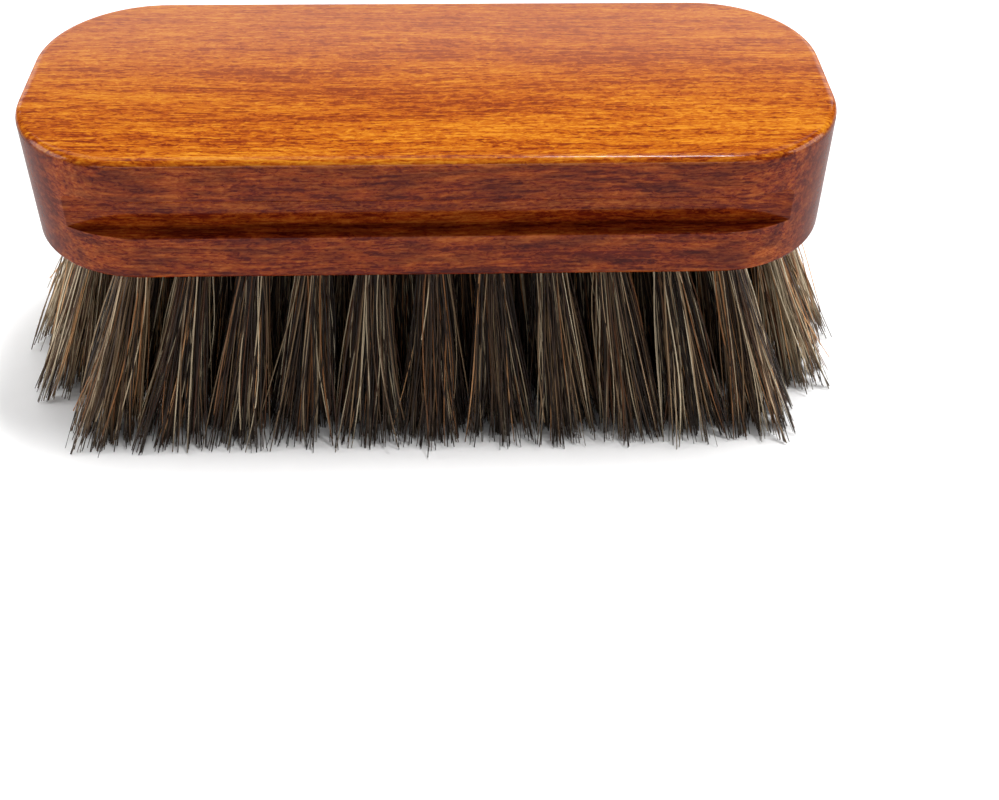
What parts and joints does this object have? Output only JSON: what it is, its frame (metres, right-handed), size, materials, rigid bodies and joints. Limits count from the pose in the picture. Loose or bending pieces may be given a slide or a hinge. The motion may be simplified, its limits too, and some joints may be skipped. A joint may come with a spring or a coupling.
{
  "type": "clothes brush",
  "caption": "Palm-held clothes brush with a lacquered wooden block, a finger groove along each side, and tufts of horsehair set in its underside.",
  "frame": {"origin": "on the plane of the hair tips, below the middle of the block: the brush stands on its hair with its back up", "axes": "+X along the block, +Y across it, +Z from the hair tips towards the back of the block"},
  "size_m": [0.1346, 0.0604, 0.0483],
  "materials": {
    "wood": "glossy red-brown lacquer over mottled grain",
    "horsehair": "near-black horsehair with brown, tan and grey strands",
    "wire": "drawn steel wire"
  },
  "bodies": {
    "root": {"block": "wood", "staples": "wire", "tuft_r1_01": "horsehair", "tuft_r1_02": "horsehair", "tuft_r1_03": "horsehair", "tuft_r1_04": "horsehair", "tuft_r1_05": "horsehair", "tuft_r1_06": "horsehair", "tuft_r1_07": "horsehair", "tuft_r1_08": "horsehair", "tuft_r1_09": "horsehair", "tuft_r1_10": "horsehair", "tuft_r1_11": "horsehair", "tuft_r2_01": "horsehair", "tuft_r2_02": "horsehair", "tuft_r2_03": "horsehair", "tuft_r2_04": "horsehair", "tuft_r2_05": "horsehair", "tuft_r2_06": "horsehair", "tuft_r2_07": "horsehair", "tuft_r2_08": "horsehair", "tuft_r2_09": "horsehair", "tuft_r2_10": "horsehair", "tuft_r2_11": "horsehair", "tuft_r2_12": "horsehair", "tuft_r3_02": "horsehair", "tuft_r3_03": "horsehair", "tuft_r3_04": "horsehair", "tuft_r3_05": "horsehair", "tuft_r3_06": "horsehair", "tuft_r3_07": "horsehair", "tuft_r3_08": "horsehair", "tuft_r3_09": "horsehair", "tuft_r3_10": "horsehair", "tuft_r3_11": "horsehair", "tuft_r3_12": "horsehair", "tuft_r3_ends": "horsehair", "tuft_r4_01": "horsehair", "tuft_r4_02": "horsehair", "tuft_r4_03": "horsehair", "tuft_r4_04": "horsehair", "tuft_r4_05": "horsehair", "tuft_r4_06": "horsehair", "tuft_r4_07": "horsehair", "tuft_r4_08": "horsehair", "tuft_r4_09": "horsehair", "tuft_r4_10": "horsehair", "tuft_r4_11": "horsehair", "tuft_r4_12": "horsehair", "tuft_r5_01": "horsehair", "tuft_r5_02": "horsehair", "tuft_r5_03": "horsehair", "tuft_r5_04": "horsehair", "tuft_r5_05": "horsehair", "tuft_r5_06": "horsehair", "tuft_r5_07": "horsehair", "tuft_r5_08": "horsehair", "tuft_r5_09": "horsehair", "tuft_r5_10": "horsehair", "tuft_r5_11": "horsehair"}
  },
  "joints": []
}
